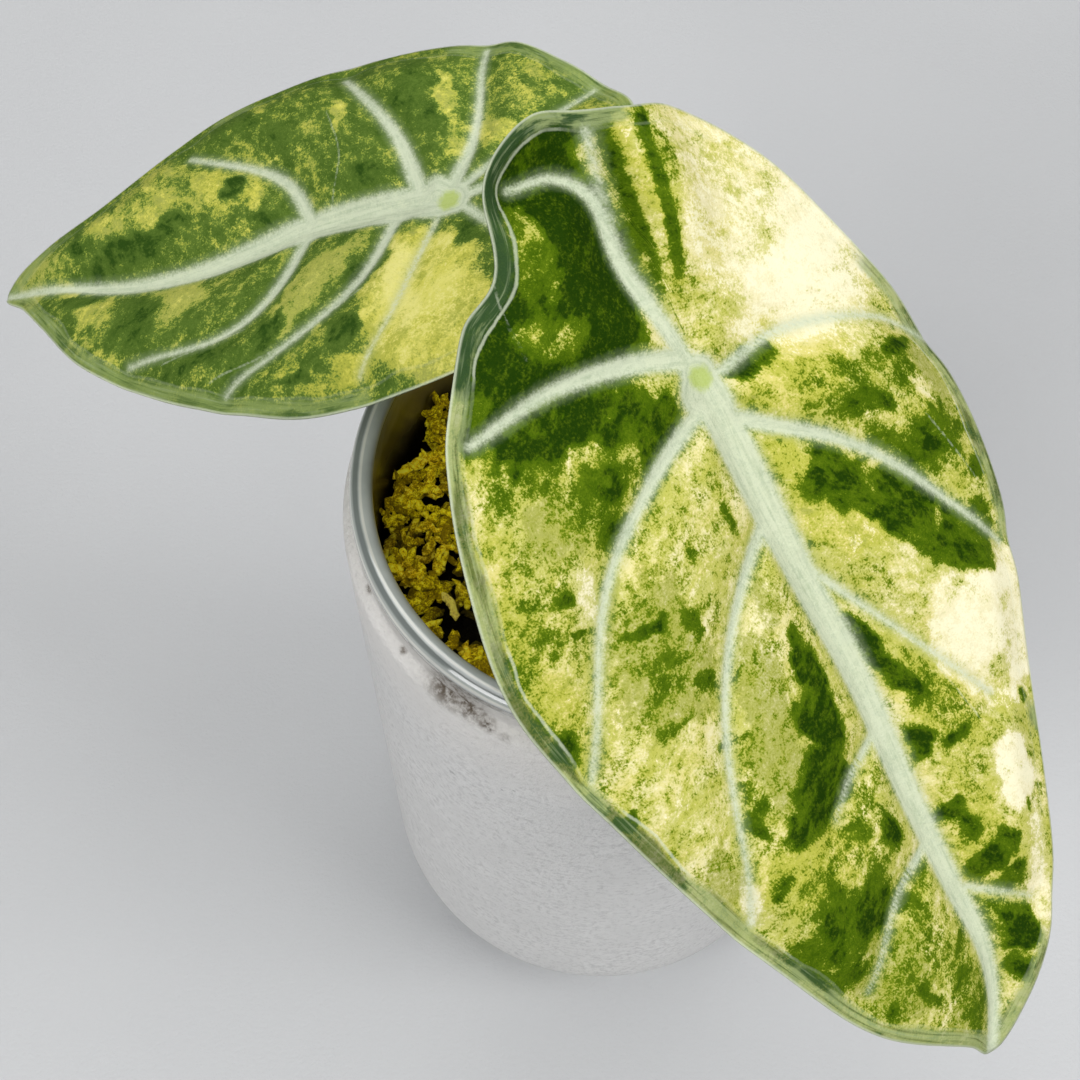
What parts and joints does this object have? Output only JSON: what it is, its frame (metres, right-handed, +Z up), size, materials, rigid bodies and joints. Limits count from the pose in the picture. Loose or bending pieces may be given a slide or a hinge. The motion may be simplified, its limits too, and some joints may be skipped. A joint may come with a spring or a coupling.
{
  "type": "potted variegated ninja alocasia",
  "caption": "Small aroid house plant with marbled, pale-veined shield leaves on short stalks, in a thick round pot with a stone-like coat.",
  "frame": {"origin": "middle of the pot's flat underside, on the surface that it stands on", "axes": "+Z up along the pot's axis; seen from -Y, the big front leaf hangs towards -Y and +X and the rear leaf points to -X"},
  "size_m": [0.109, 0.0984, 0.1535],
  "materials": {
    "pot_coat": "thick glass, outside coated matte light grey with fine stone-like speckle, bare polished lip",
    "potting_mix": "moist dark bark and peat mix",
    "moss": "matted golden-ochre moss strands",
    "stem": "fleshy olive green stem with thin dry sheaths",
    "stalk": "smooth fleshy lime green stalk, slightly streaked",
    "leaf_pale": "velvety leaf marbled cream, yellow-green and dark green, minty white veins",
    "leaf_green": "velvety green leaf marbled yellow-green, minty white veins"
  },
  "bodies": {
    "root": {"pot": "pot_coat", "potting_mix": "potting_mix", "moss": "moss", "stem_base": "stem", "petiole_front": "stalk", "petiole_rear": "stalk", "leaf_front": "leaf_pale", "leaf_rear": "leaf_green"}
  },
  "joints": []
}
